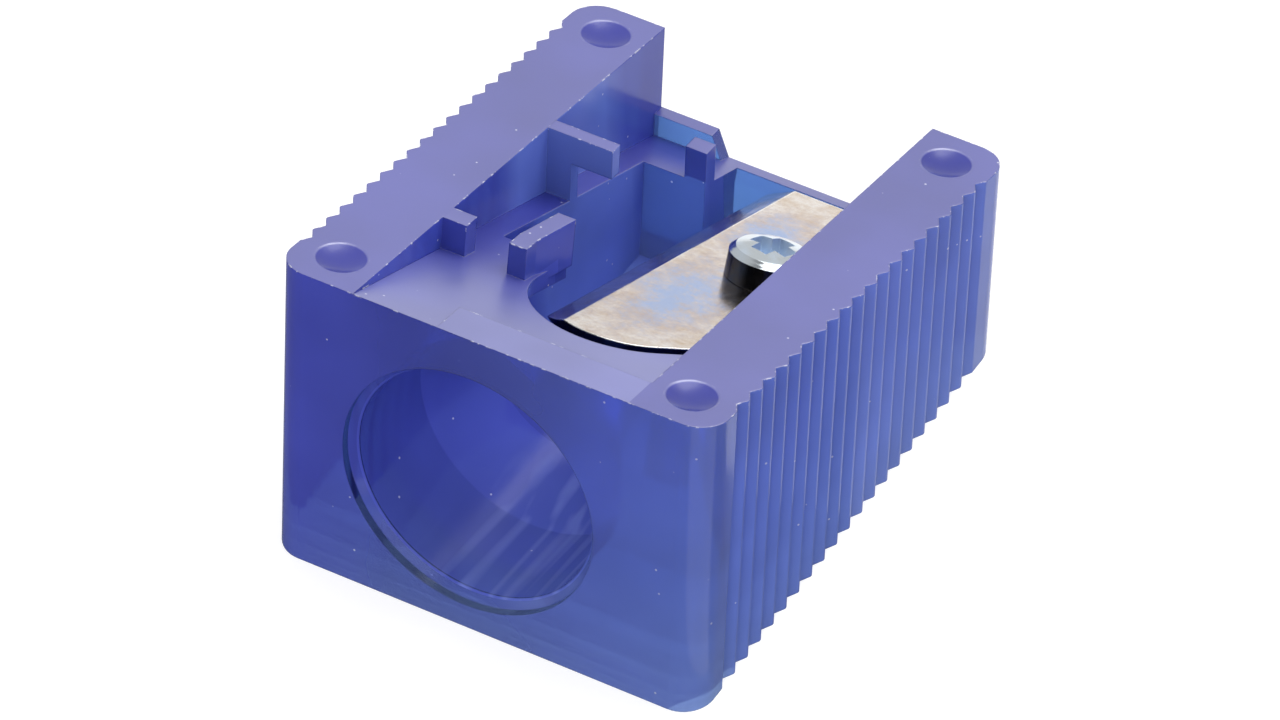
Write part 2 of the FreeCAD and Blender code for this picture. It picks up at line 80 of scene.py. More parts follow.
# The screw: the middle of its seat, the reach of its cross recess, its edges, lathe rings and stains.
SCREW_SEAT = (4.9 * MM, 3.6202 * MM, 9.6595 * MM)
RECESS_RADIUS = 1.45 * MM
SCREW_EDGE = 0.06 * MM
RING_PITCH = 0.16 * MM
STAIN_SIZE = 0.9 * MM

BEVEL_SAMPLES = 6

# The stage: the paper's width, where its bright corner begins on the right and in front, the way to the
# room's dark side, and the soft boxes with their place, size, power and whether gloss finds them.
PAPER_WIDTH = 6.0
BRIGHT_CORNER = (14 * MM, -13 * MM)
DARK_SIDE = (0.3, -0.8, 0.5)
LAMP_AIM = (0, 0, 0.01)
LAMPS = (
    ("top_box", (0.05, 0.10, 0.30), 0.25, 0.7, True),
    ("front_fill", (0.12, -0.35, 0.20), 0.30, 1.0, False),
)

# The camera: its place in millimetres, and the directions of its right, top and back.
CAMERA_PLACE = (168.325, -276.313, 319.231)
CAMERA_AXES = (
    (0.86348102, 0.5040009, -0.01958614),
    (-0.33912741, 0.6088792, 0.71711834),
    (0.37335388, -0.61257589, 0.69667615),
)
SENSOR_WIDTH = 36


def linear(colour):
    """An sRGB hex colour as linear red, green and blue."""
    channels = [int(colour[place:place + 2], 16) / 255 for place in (1, 3, 5)]
    return tuple(c / 12.92 if c <= 0.04045 else ((c + 0.055) / 1.055) ** 2.4 for c in channels)


def opaque(colour):
    """A colour with full alpha, as a colour socket takes it."""
    return (*colour, 1.0)


def add(tree, kind, inputs=None, **settings):
    """Add a node, give it its settings, and link or set its inputs. A node that is given as an input stands
    for its first output in use."""
    node = tree.nodes.new(kind)
    for name, value in settings.items():
        setattr(node, name, value)
    for socket, value in (inputs or {}).items():
        if isinstance(value, bpy.types.Node):
            value = next(output for output in value.outputs if output.enabled)
        if isinstance(value, bpy.types.NodeSocket):
            tree.links.new(value, node.inputs[socket])
        else:
            node.inputs[socket].default_value = value
    return node


def new_material(name):
    """A material with an empty node tree."""
    material = bpy.data.materials.new(name)
    material.use_nodes = True
    material.node_tree.nodes.clear()
    return material, material.node_tree


def colour_setting(name, description, colour):
    """A colour that the panel shows, with an sRGB hex colour as its default."""
    return bpy.props.FloatVectorProperty(
        name=name, description=description, subtype="COLOR", size=3, min=0, max=1, default=linear(colour),
    )


class MouldingFinish(bpy.types.PropertyGroup):
    """Colours and edges of the moulding."""

    side_colour: colour_setting("Dye", "Colour that the plastic's faces scatter", "#4a53c0")
    # Painted light: the dye is painted paler towards the right, where more light falls.
    right_lit_colour: colour_setting("Right dye", "Paler dye, where the melt came in on the right", "#6c82de")
    top_colour: colour_setting("Top dye", "Colour under the satin of the faces that look up", "#34399a")
    # Painted sheen: this paler colour is painted on the front of the valley floor.
    valley_sheen_colour: colour_setting("Valley", "Paler grain at the front of the valley", "#666ab0")
    clear_colour: colour_setting("Thin wall", "Colour of light that has crossed a thin wall", "#7eb4fe")
    depth_colour: colour_setting("Depth", "Colour that light turns to deep in the plastic", "#4f8cfc")
    wear_colour: colour_setting("Wear", "Whitened specks along the edges", "#e4e6f6")
    # Painted highlight: these pale streaks are painted along the lower right of the bore.
    streak_highlight_colour: colour_setting("Scuffs", "Streaks that pencils rub along the bore", "#8c9cf0")
    edge_round: bpy.props.FloatProperty(
        name="Edge rounding", description="Radius that the light finds on the edges", subtype="DISTANCE",
        unit="LENGTH", default=0.12 * MM, min=0,
    )


class BladeFinish(bpy.types.PropertyGroup):
    """Colours of the blade's heat tint and edges."""

    steel_colour: colour_setting("Steel", "Pale ground steel", "#f0eae4")
    straw_colour: colour_setting("Straw", "First tint of the heated steel", "#d6c1aa")
    plum_colour: colour_setting("Plum", "Tint between straw and blue", "#bba8ac")
    blue_colour: colour_setting("Blue", "Pale blue where the steel was hottest", "#aec0e6")
    # Painted shade and dark reflection: this near-black is painted on the blade's narrow stamped edges.
    edge_shade_colour: colour_setting("Black", "Scale left on the stamped edges", "#2a2836")
    edge_colour: colour_setting("Edge", "Bare steel where the edges are worn bright", "#f8f6f2")


class ScrewFinish(bpy.types.PropertyGroup):
    """Colours of the screw's plating, with painted light in the recess and a painted dark reflection round
    the head.
    """

    zinc_colour: colour_setting("Zinc", "Bright zinc plate", "#ccd3d8")
    # Partly painted light: the recess is painted in this lighter colour, which also makes the film stains.
    recess_lit_and_film_colour: colour_setting("Recess", "Blue-green passivate that stays in the recess", "#d4e4f6")
    # Painted dark reflection: this dark grey is painted on the side of the head.
    flank_dark_reflection_colour: colour_setting("Flank", "Thin dark plate round the head", "#48494c")


class StageSettings(bpy.types.PropertyGroup):
    """Floor and lens."""

    floor_colour: colour_setting("Floor colour", "Paper under the part", "#ffffff")
    lens: bpy.props.FloatProperty(
        name="Lens", description="Focal length on a 36 mm wide sensor", unit="CAMERA",
        default=264.54, min=1,
    )


def point_on_moulding(tree):
    """Where a point of the moulding lies, and which way its face looks out, whether it is seen from outside
    the plastic or from within."""
    place = add(tree, "ShaderNodeTexCoord").outputs
    geometry = add(tree, "ShaderNodeNewGeometry").outputs
    outward = add(
        tree, "ShaderNodeMapRange",
        {"Value": geometry["Backfacing"], "To Min": 1.0, "To Max": -1.0},
    )
    normal = add(tree, "ShaderNodeVectorMath", {0: place["Normal"], "Scale": outward}, operation="SCALE")
    facing = add(tree, "ShaderNodeSeparateXYZ", {"Vector": normal}).outputs
    spot = add(tree, "ShaderNodeSeparateXYZ", {"Vector": place["Object"]}).outputs

    # The rails' inner walls count as inside, and all but the underside counts as standing.
    aside = add(tree, "ShaderNodeMath", {0: spot["X"]}, operation="ABSOLUTE")
    on_rail = add(tree, "ShaderNodeMath", {0: aside, 1: RAIL_INSIDE}, operation="GREATER_THAN")
    between = add(tree, "ShaderNodeMath", {0: 1.0, 1: on_rail}, operation="SUBTRACT")
    inside = add(tree, "ShaderNodeMath", {0: aside, 1: RAIL_INSIDE + 0.2 * MM}, operation="LESS_THAN")
    over_rail = add(tree, "ShaderNodeVectorMath", {0: place["Object"], 1: RAIL_UP}, operation="DOT_PRODUCT")
    standing = add(tree, "ShaderNodeMapRange", {"Value": facing["Z"], "From Min": -0.95, "From Max": -0.6})
    return SimpleNamespace(
        place=place["Object"], normal=geometry["Normal"], facing=facing, spot=spot, on_rail=on_rail,
        between=between, inside=inside, over_rail=over_rail, standing=standing,
    )


def upper_zones(tree, at):
    """What looks up, from the valley floor to the rail tops. It is satin, but only a little in the dimples,
    and has a painted sheen, a paler colour, at the front of the valley."""
    over_floor = add(tree, "ShaderNodeVectorMath", {0: at.place, 1: FLOOR_UP}, operation="DOT_PRODUCT")
    upward = add(
        tree, "ShaderNodeMapRange",
        {"Value": at.facing["Z"], "From Min": 0.75, "From Max": 0.88},
        interpolation_type="SMOOTHSTEP",
    )
    above = add(
        tree, "ShaderNodeMapRange",
        {"Value": over_floor, "From Min": FLOOR_LEVEL - 0.1 * MM, "From Max": FLOOR_LEVEL - 0.05 * MM},
    )
    open_top = add(tree, "ShaderNodeMath", {0: upward, 1: above}, operation="MULTIPLY")
    sunk = add(
        tree, "ShaderNodeMapRange",
        {
            "Value": at.over_rail,
            "From Min": RAIL_LEVEL - 0.05 * MM, "From Max": RAIL_LEVEL - 0.02 * MM,
            "To Min": 1.0, "To Max": 0.0,
        },
    )
    dimple = add(tree, "ShaderNodeMath", {0: sunk, 1: at.on_rail}, operation="MULTIPLY")
    plain = add(tree, "ShaderNodeMapRange", {"Value": dimple, "To Min": 1.0, "To Max": 0.25})
    satin = add(tree, "ShaderNodeMath", {0: open_top, 1: plain}, operation="MULTIPLY")
    # Painted sheen: the front of the valley is painted paler, fading towards the rear.
    frontward = add(
        tree, "ShaderNodeMapRange",
        {"Value": at.spot["Y"], "From Min": VALLEY_FRONT[1], "From Max": VALLEY_FRONT[0]},
        interpolation_type="SMOOTHSTEP",
    )
    near = add(tree, "ShaderNodeMath", {0: at.between, 1: frontward}, operation="MULTIPLY")
    valley = add(tree, "ShaderNodeMath", {0: near, 1: open_top}, operation="MULTIPLY")
    return SimpleNamespace(open_top=open_top, satin=satin, valley=valley)


def inner_zones(tree, at):
    """The small front faces inside the valley, which are thick behind and get painted shade, and the walls
    round the pocket, which get painted light.
    """
    set_back = add(tree, "ShaderNodeMath", {0: at.spot["Y"], 1: VALLEY_FRONT[0]}, operation="GREATER_THAN")
    fronting = add(tree, "ShaderNodeMath", {0: at.facing["Y"], 1: TO_THE_FRONT}, operation="LESS_THAN")
    within_valley = add(tree, "ShaderNodeMath", {0: at.inside, 1: set_back}, operation="MULTIPLY")
    stub = add(tree, "ShaderNodeMath", {0: within_valley, 1: fronting}, operation="MULTIPLY")
    midway = add(tree, "ShaderNodeMath", {0: at.spot["Y"], 1: POCKET_MIDDLE}, operation="SUBTRACT")
    off_mid = add(tree, "ShaderNodeMath", {0: midway}, operation="ABSOLUTE")
    amid = add(
        tree, "ShaderNodeMapRange",
        {"Value": off_mid, "From Min": POCKET_REACH[1], "From Max": POCKET_REACH[0]},
    )
    # Painted light: the walls round the pocket are painted paler.
    enclosed = add(tree, "ShaderNodeMath", {0: amid, 1: at.inside}, operation="MULTIPLY")
    return SimpleNamespace(stub=stub, enclosed=enclosed)


def bore_zones(tree, at):
    """The bore's wall, the painted highlight streaks along it at the lower right, and the step at its mouth.
    """
    bore = add(
        tree, "ShaderNodeMapping",
        {"Vector": at.place, "Location": BORE_MIDDLE, "Rotation": (-BORE_RISE, 0, 0)},
        vector_type="TEXTURE",
    )
    axes = add(tree, "ShaderNodeSeparateXYZ", {"Vector": bore}).outputs
    across = add(tree, "ShaderNodeCombineXYZ", {"X": axes["X"], "Z": axes["Z"]})
    radius = add(tree, "ShaderNodeVectorMath", {0: across}, operation="LENGTH")
    within = add(tree, "ShaderNodeMath", {0: radius, 1: BORE_RADIUS + 0.1 * MM}, operation="LESS_THAN")
    fore = add(tree, "ShaderNodeMath", {0: axes["Y"], 1: BORE_END}, operation="LESS_THAN")
    wall = add(tree, "ShaderNodeMath", {0: within, 1: fore}, operation="MULTIPLY")

    # Painted highlight: pale streaks along the bore, only towards its lower right.
    along = add(tree, "ShaderNodeMapping", {"Vector": bore, "Scale": STREAK_SIZE}, vector_type="TEXTURE")
    streaks = add(tree, "ShaderNodeTexNoise", {"Vector": along, "Scale": 1.0, "Detail": 1.0})
    highlight_streak_shape = add(
        tree, "ShaderNodeMapRange",
        {"Value": streaks, "From Min": 0.52, "From Max": 0.68, "To Max": 0.45},
    )
    rightward = add(tree, "ShaderNodeMath", {0: axes["X"], 1: axes["Z"]}, operation="SUBTRACT")
    toward_lit_side = add(
        tree, "ShaderNodeMapRange",
        {"Value": rightward, "From Min": HIGHLIGHT_STREAK_PART[0], "From Max": HIGHLIGHT_STREAK_PART[1]},
    )
    lit_bore_wall = add(tree, "ShaderNodeMath", {0: wall, 1: toward_lit_side}, operation="MULTIPLY")
    highlight_streaks = add(tree, "ShaderNodeMath", {0: lit_bore_wall, 1: highlight_streak_shape}, operation="MULTIPLY")

    # The step at the mouth is marked for painted shade.
    in_mouth = add(tree, "ShaderNodeMath", {0: radius, 1: STEP_RADIUS}, operation="LESS_THAN")
    at_mouth = add(tree, "ShaderNodeMath", {0: axes["Y"], 1: STEP_END}, operation="LESS_THAN")
    crosswise = add(tree, "ShaderNodeMath", {0: at.facing["Y"], 1: TO_THE_FRONT}, operation="GREATER_THAN")
    mouth = add(tree, "ShaderNodeMath", {0: in_mouth, 1: at_mouth}, operation="MULTIPLY")
    step = add(tree, "ShaderNodeMath", {0: mouth, 1: crosswise}, operation="MULTIPLY")
    return SimpleNamespace(wall=wall, highlight_streaks=highlight_streaks, step=step)


def edge_wear(tree, at, rounded):
    """Specks that handling has whitened along the upper edges, and a few nicks, about 0.1 mm across, on
    every face."""
    bend = add(tree, "ShaderNodeVectorMath", {0: rounded, 1: at.normal}, operation="DOT_PRODUCT")
    edge = add(tree, "ShaderNodeMapRange", {"Value": bend, "From Min": 0.99, "From Max": 0.9})
    chips = add(tree, "ShaderNodeTexNoise", {"Vector": at.place, "Scale": 1 / CHIP_SIZE, "Detail": 2.0})
    chipped = add(tree, "ShaderNodeMapRange", {"Value": chips, "From Min": 0.57, "From Max": 0.64})
    handled = add(
        tree, "ShaderNodeMapRange",
        {"Value": at.over_rail, "From Min": RAIL_LEVEL - 0.35 * MM, "From Max": RAIL_LEVEL - 0.25 * MM},
    )
    marked = add(tree, "ShaderNodeMath", {0: edge, 1: handled}, operation="MULTIPLY")
    whitened = add(tree, "ShaderNodeMath", {0: marked, 1: chipped}, operation="MULTIPLY")
    scatter = add(tree, "ShaderNodeTexVoronoi", {"Vector": at.place, "Scale": 1 / NICK_SPACING})
    nick = add(
        tree, "ShaderNodeMapRange",
        {"Value": scatter, "From Min": 0.055, "From Max": 0.04, "To Max": 0.7},
    )
    return add(tree, "ShaderNodeMath", {0: whitened, 1: nick}, operation="MAXIMUM")


def tone_and_painted_shade(tree, at, inner, bore, cloud):
    """How bright the dye is. It drifts slowly with the flow in the mould, and painted shade darkens the
    underside, the step at the bore's mouth and the small front faces inside the valley."""
    drift = add(
        tree, "ShaderNodeMapRange",
        {"Value": cloud, "From Min": 0.3, "From Max": 0.7, "To Min": 0.9, "To Max": 1.1},
    )
    # Painted shade on the underside, on the step at the bore's mouth and on the small front faces.
    under = add(tree, "ShaderNodeMapRange", {"Value": at.standing, "To Min": 0.3, "To Max": 1.0})
    shaded = add(tree, "ShaderNodeMapRange", {"Value": bore.step, "To Min": 1.0, "To Max": 0.3})
    deep = add(tree, "ShaderNodeMapRange", {"Value": inner.stub, "To Min": 1.0, "To Max": 0.62})
    shadow = add(tree, "ShaderNodeMath", {0: shaded, 1: deep}, operation="MULTIPLY")
    dark = add(tree, "ShaderNodeMath", {0: under, 1: shadow}, operation="MULTIPLY")
    return add(tree, "ShaderNodeMath", {0: drift, 1: dark}, operation="MULTIPLY")


def dye_and_painted_light(tree, at, upper, inner, finish):
    """The dye's colour, painted paler towards the right and round the pocket as painted light, with its own
    colour on top and a painted sheen at the front of the valley.
    """
    crossing = add(
        tree, "ShaderNodeMapRange",
        {"Value": at.spot["X"], "From Min": -SIDE_REACH, "From Max": SIDE_REACH},
    )
    bent = add(tree, "ShaderNodeMath", {0: crossing, 1: 2.0}, operation="POWER")
    paler = add(tree, "ShaderNodeMath", {0: bent, 1: inner.enclosed}, operation="MAXIMUM")
    # Painted light: paler dye towards the right and round the pocket.
    sides = add(
        tree, "ShaderNodeMix",
        {"Factor": paler, "A": opaque(finish.side_colour), "B": opaque(finish.right_lit_colour)},
        data_type="RGBA",
    )
    topped = add(
        tree, "ShaderNodeMix",
        {"Factor": upper.open_top, "A": sides, "B": opaque(finish.top_colour)},
        data_type="RGBA",
    )
    return add(
        tree, "ShaderNodeMix",
        {"Factor": upper.valley, "A": topped, "B": opaque(finish.valley_sheen_colour)},
        data_type="RGBA",
    )


def clear_share(tree, at, upper, inner, bore):
    """Share of light that goes through: most at the front and rear walls, less elsewhere, towards the left
    and in hollows, little through satin, and none below."""
    through = add(
        tree, "ShaderNodeMapRange",
        {
            "Value": at.spot["Y"],
            "From Min": FRONT_WALL[0], "From Max": FRONT_WALL[1],
            "To Min": 0.52, "To Max": 0.3,
        },
    )
    rearward = add(
        tree, "ShaderNodeMapRange",
        {"Value": at.spot["Y"], "From Min": REAR_WALL[0], "From Max": REAR_WALL[1], "To Max": 0.68},
    )
    rear_wall = add(tree, "ShaderNodeMath", {0: rearward, 1: at.between}, operation="MULTIPLY")
    thin = add(tree, "ShaderNodeMath", {0: through, 1: rear_wall}, operation="MAXIMUM")
    upright = add(tree, "ShaderNodeMath", {0: thin, 1: at.standing}, operation="MULTIPLY")
    leftward = add(
        tree, "ShaderNodeMapRange",
        {"Value": at.spot["X"], "From Min": LEFT_PART[0], "From Max": LEFT_PART[1], "To Min": 0.5},
    )
    dimmed = add(tree, "ShaderNodeMath", {0: upright, 1: leftward}, operation="MULTIPLY")
    hazed = add(tree, "ShaderNodeMapRange", {"Value": upper.satin, "To Min": 1.0, "To Max": 0.12})
    hollow = add(tree, "ShaderNodeMath", {0: bore.wall, 1: inner.enclosed}, operation="MAXIMUM")
    dulled = add(tree, "ShaderNodeMapRange", {"Value": hollow, "To Min": 1.0, "To Max": 0.5})
    veiled = add(tree, "ShaderNodeMath", {0: hazed, 1: dulled}, operation="MULTIPLY")
    return add(tree, "ShaderNodeMath", {0: dimmed, 1: veiled}, operation="MULTIPLY")


def moulded_polystyrene(finish):
    """Dyed clear polystyrene. Its upright faces come from polished steel and are glossy and part
    see-through, so thin walls glow azure and ribs show faintly behind them. The faces that look up come
    from spark-eroded steel: satin, and pale where they mirror the room."""
    material, tree = new_material("moulded_dyed_polystyrene")
    at = point_on_moulding(tree)
    upper = upper_zones(tree, at)
    inner = inner_zones(tree, at)
    bore = bore_zones(tree, at)

    # Dye with painted light and shade, painted highlight streaks in the bore and whitened specks, one over
    # the other.
    cloud = add(tree, "ShaderNodeTexNoise", {"Vector": at.place, "Scale": 1 / CLOUD_SIZE, "Detail": 2.0})
    tone_and_shade = tone_and_painted_shade(tree, at, inner, bore, cloud)
    dye = dye_and_painted_light(tree, at, upper, inner, finish)
    dyed = add(tree, "ShaderNodeVectorMath", {0: dye, "Scale": tone_and_shade}, operation="SCALE")
    # Painted highlight: pale streaks mixed into the bore's colour.
    marked = add(
        tree, "ShaderNodeMix",
        {"Factor": bore.highlight_streaks, "A": dyed, "B": opaque(finish.streak_highlight_colour)},
        data_type="RGBA",
    )
    rounded = add(tree, "ShaderNodeBevel", {"Radius": finish.edge_round}, samples=BEVEL_SAMPLES)
    worn = add(
        tree, "ShaderNodeMix",
        {"Factor": edge_wear(tree, at, rounded), "A": marked, "B": opaque(finish.wear_colour)},
        data_type="RGBA",
    )

    # Flow marks on the polished faces, and on the satin ones the grain of the eroded steel, drawn coarse
    # enough to show.
    flow = add(tree, "ShaderNodeTexNoise", {"Vector": at.place, "Scale": 1 / FLOW_SIZE, "Detail": 2.0})
    rippled = add(
        tree, "ShaderNodeBump",
        {"Height": flow, "Distance": 0.01 * MM, "Strength": 0.3, "Normal": rounded},
    )
    polished_face = add(
        tree, "ShaderNodeBsdfPrincipled",
        {"Base Color": worn, "Roughness": 0.16, "IOR": 1.59, "Specular IOR Level": 0.12, "Normal": rippled},
    )
    grit = add(tree, "ShaderNodeTexNoise", {"Vector": at.place, "Scale": 1 / GRAIN_SIZE, "Detail": 3.0})
    eroded = add(
        tree, "ShaderNodeBump",
        {"Height": grit, "Distance": 0.02 * MM, "Strength": 0.3, "Normal": rounded},
    )
    dull = add(
        tree, "ShaderNodeMapRange",
        {"Value": cloud, "From Min": 0.3, "From Max": 0.7, "To Min": 0.3, "To Max": 0.4},
    )
    satin_face = add(
        tree, "ShaderNodeBsdfPrincipled",
        {"Base Color": worn, "Roughness": dull, "IOR": 2.0, "Specular IOR Level": 1.0, "Normal": eroded},
    )
    face = add(tree, "ShaderNodeMixShader", {"Fac": upper.satin, 1: polished_face, 2: satin_face})

    # What light crosses: a slightly hazy skin, and dye that deepens inside.
    haze = add(
        tree, "ShaderNodeMapRange",
        {
            "Value": at.spot["Y"],
            "From Min": FRONT_WALL[0], "From Max": FRONT_WALL[1],
            "To Min": 0.14, "To Max": 0.25,
        },
    )
    clear = add(
        tree, "ShaderNodeBsdfPrincipled",
        {
            "Base Color": opaque(finish.clear_colour),
            "Roughness": haze,
            "IOR": 1.45,
            "Specular IOR Level": 0.12,
            "Transmission Weight": 1.0,
            "Normal": rippled,
        },
    )
    share = clear_share(tree, at, upper, inner, bore)
    both = add(tree, "ShaderNodeMixShader", {"Fac": share, 1: face, 2: clear})
    depth = add(
        tree, "ShaderNodeVolumeAbsorption",
        {"Color": opaque(finish.depth_colour), "Density": 100.0},
    )
    add(tree, "ShaderNodeOutputMaterial", {"Surface": both, "Volume": depth})
    return material


def heat_tint(tree, place, finish):
    """Colour of the ground steel: straw in soft mottles, and plum and blue towards the islands."""
    islands = []
    for centre, reach in TINT_ISLANDS:
        island = add(
            tree, "ShaderNodeMapping",
            {
                "Vector": place,
                "Location": Vector(centre) * MM,
                "Rotation": (-FLOOR_SLOPE, 0, 0),
                "Scale": Vector(reach) * MM,
            },
            vector_type="TEXTURE",
        )
        islands.append(add(tree, "ShaderNodeVectorMath", {0: island}, operation="LENGTH"))
    nearest = add(tree, "ShaderNodeMath", {0: islands[0], 1: islands[1]}, operation="MINIMUM")
    fray = add(
        tree, "ShaderNodeTexNoise",
        {"Vector": place, "Scale": 1 / FRAY_SIZE, "Detail": 9.0, "Roughness": 0.8},
    )
    frayed = add(tree, "ShaderNodeMath", {0: fray, 1: 3.0, 2: -1.5}, operation="MULTIPLY_ADD")
    away = add(tree, "ShaderNodeMath", {0: nearest, 1: frayed}, operation="ADD")
    cooled = add(
        tree, "ShaderNodeMapRange",
        {"Value": away, "From Min": -0.1, "From Max": 1.7},
        interpolation_type="SMOOTHSTEP",
    )
    mottle = add(
        tree, "ShaderNodeTexNoise",
        {"Vector": place, "Scale": 1 / MOTTLE_SIZE, "Detail": 8.0, "Roughness": 0.75},
    )
    blotch = add(tree, "ShaderNodeMapRange", {"Value": mottle, "From Min": 0.38, "From Max": 0.66})
    straw = add(
        tree, "ShaderNodeMix",
        {"Factor": blotch, "A": opaque(finish.steel_colour), "B": opaque(finish.straw_colour)},
        data_type="RGBA",
    )
    hot = add(tree, "ShaderNodeValToRGB", {"Fac": cooled})
    ramp = hot.color_ramp.elements
    ramp[0].position, ramp[0].color = 0.1, opaque(finish.blue_colour)
    ramp[1].position, ramp[1].color = 0.7, opaque(finish.plum_colour)
    return add(tree, "ShaderNodeMix", {"Factor": cooled, "A": hot, "B": straw}, data_type="RGBA")


def heat_tinted_steel(finish):
    """Hardened carbon steel, ground flat and bevelled: pale straw metal in soft mottles, with islands of
    pale blue where it was hottest, bright worn edges, and painted shade and dark reflection round the
    stamped outline."""
    material, tree = new_material("heat_tinted_ground_steel")
    place = add(tree, "ShaderNodeTexCoord").outputs
    tint = heat_tint(tree, place["Object"], finish)

    # The outline is painted dark as painted shade and dark reflection, and its edges are worn bright.
    facing = add(tree, "ShaderNodeVectorMath", {0: place["Normal"], 1: FLOOR_UP}, operation="DOT_PRODUCT")
    painted_dark_flank = add(tree, "ShaderNodeMapRange", {"Value": facing, "From Min": 0.5, "From Max": 0.3})
    flank_darkened = add(
        tree, "ShaderNodeMix",
        {"Factor": painted_dark_flank, "A": tint, "B": opaque(finish.edge_shade_colour)},
        data_type="RGBA",
    )
    geometry = add(tree, "ShaderNodeNewGeometry").outputs
    rounded = add(tree, "ShaderNodeBevel", {"Radius": BLADE_EDGE}, samples=BEVEL_SAMPLES)
    bend = add(tree, "ShaderNodeVectorMath", {0: rounded, 1: geometry["Normal"]}, operation="DOT_PRODUCT")
    edge = add(tree, "ShaderNodeMapRange", {"Value": bend, "From Min": 0.995, "From Max": 0.95})
    bright = add(
        tree, "ShaderNodeMix",
        {"Factor": edge, "A": flank_darkened, "B": opaque(finish.edge_colour)},
        data_type="RGBA",
    )

    # Grinding marks run along the blade, drawn 0.1 mm wide so that they show.
    along = add(
        tree, "ShaderNodeMapping",
        {"Vector": place["Object"], "Rotation": (-FLOOR_SLOPE, 0, 0), "Scale": GRINDING_SIZE},
        vector_type="TEXTURE",
    )
    marks = add(tree, "ShaderNodeTexNoise", {"Vector": along, "Scale": 1.0, "Detail": 2.0})
    rough = add(
        tree, "ShaderNodeMapRange",
        {"Value": marks, "From Min": 0.3, "From Max": 0.7, "To Min": 0.13, "To Max": 0.25},
    )
    ground = add(
        tree, "ShaderNodeBump",
        {"Height": marks, "Distance": 0.002 * MM, "Strength": 0.4, "Normal": rounded},
    )
    surface = add(
        tree, "ShaderNodeBsdfPrincipled",
        {"Base Color": bright, "Metallic": 1.0, "Roughness": rough, "Normal": ground},
    )
    add(tree, "ShaderNodeOutputMaterial", {"Surface": surface})
    return material


def zinc_plate(finish):
    """Bright zinc on a turned steel screw: pale mirror metal with fine rings from the lathe, a blue-green
    film left in the cross recess, painted lighter there as painted light, and a painted dark reflection
    round the head."""
    material, tree = new_material("bright_zinc_plate")
    place = add(tree, "ShaderNodeTexCoord").outputs
    turned = add(
        tree, "ShaderNodeMapping",
        {"Vector": place["Object"], "Location": SCREW_SEAT, "Rotation": (-FLOOR_SLOPE, 0, 0)},
        vector_type="TEXTURE",
    )
    axes = add(tree, "ShaderNodeSeparateXYZ", {"Vector": turned}).outputs
    across = add(tree, "ShaderNodeCombineXYZ", {"X": axes["X"], "Y": axes["Y"]})
    radius = add(tree, "ShaderNodeVectorMath", {0: across}, operation="LENGTH")

    # Steep faces are the recess near the middle, and the side of the head elsewhere, which gets a painted
    # dark reflection.
    facing = add(tree, "ShaderNodeVectorMath", {0: place["Normal"], 1: FLOOR_UP}, operation="DOT_PRODUCT")
    steep = add(tree, "ShaderNodeMapRange", {"Value": facing, "From Min": 0.8, "From Max": 0.3})
    inside = add(tree, "ShaderNodeMath", {0: radius, 1: RECESS_RADIUS}, operation="LESS_THAN")
    recess = add(tree, "ShaderNodeMath", {0: steep, 1: inside}, operation="MULTIPLY")
    painted_dark_flank = add(tree, "ShaderNodeMath", {0: steep, 1: recess}, operation="SUBTRACT")
    stain = add(
        tree, "ShaderNodeTexNoise",
        {"Vector": place["Object"], "Scale": 1 / STAIN_SIZE, "Detail": 3.0},
    )
    film = add(
        tree, "ShaderNodeMapRange",
        {"Value": stain, "From Min": 0.45, "From Max": 0.7, "To Max": 0.5},
    )
    filmed = add(tree, "ShaderNodeMath", {0: recess, 1: film}, operation="MAXIMUM")
    # Partly painted light: the recess is painted lighter, and stains of film spread over the head.
    plate = add(
        tree, "ShaderNodeMix",
        {"Factor": filmed, "A": opaque(finish.zinc_colour), "B": opaque(finish.recess_lit_and_film_colour)},
        data_type="RGBA",
    )
    # Painted dark reflection on the side of the head.
    skin = add(
        tree, "ShaderNodeMix",
        {"Factor": painted_dark_flank, "A": plate, "B": opaque(finish.flank_dark_reflection_colour)},
        data_type="RGBA",
    )

    # Lathe rings, drawn far enough apart to show, and a film that is matt in the recess.
    ring = add(tree, "ShaderNodeMath", {0: radius, 1: tau / RING_PITCH}, operation="MULTIPLY")
    rings = add(tree, "ShaderNodeMath", {0: ring}, operation="SINE")
    rounded = add(tree, "ShaderNodeBevel", {"Radius": SCREW_EDGE}, samples=BEVEL_SAMPLES)
    lathe = add(
        tree, "ShaderNodeBump",
        {"Height": rings, "Distance": 0.002 * MM, "Strength": 0.4, "Normal": rounded},
    )
    rough = add(
        tree, "ShaderNodeMapRange",
        {"Value": stain, "From Min": 0.3, "From Max": 0.7, "To Min": 0.1, "To Max": 0.2},
    )
    matt = add(tree, "ShaderNodeMath", {0: recess, 1: 0.35, 2: rough}, operation="MULTIPLY_ADD")
    surface = add(
        tree, "ShaderNodeBsdfPrincipled",
        {"Base Color": skin, "Metallic": 1.0, "Roughness": matt, "Normal": lathe},
    )
    add(tree, "ShaderNodeOutputMaterial", {"Surface": surface})
    return material


def dress(node, material):
    """Give a carried-over solid its finish."""
    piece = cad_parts[node]
    piece.data.materials.clear()
    piece.data.materials.append(material)


class SHARPENER_OT_moulding(bpy.types.Operator):
    """Finish the ribbed moulding"""

    bl_idname = "sharpener.moulding"
    bl_label = "Finish Moulding"

    def execute(self, context):
        dress("body", moulded_polystyrene(context.scene.sharpener_moulding))
        return {"FINISHED"}


class SHARPENER_OT_blade(bpy.types.Operator):
    """Finish the steel blade"""

    bl_idname = "sharpener.blade"
    bl_label = "Finish Blade"

    def execute(self, context):
        dress("blade", heat_tinted_steel(context.scene.sharpener_blade))
        return {"FINISHED"}


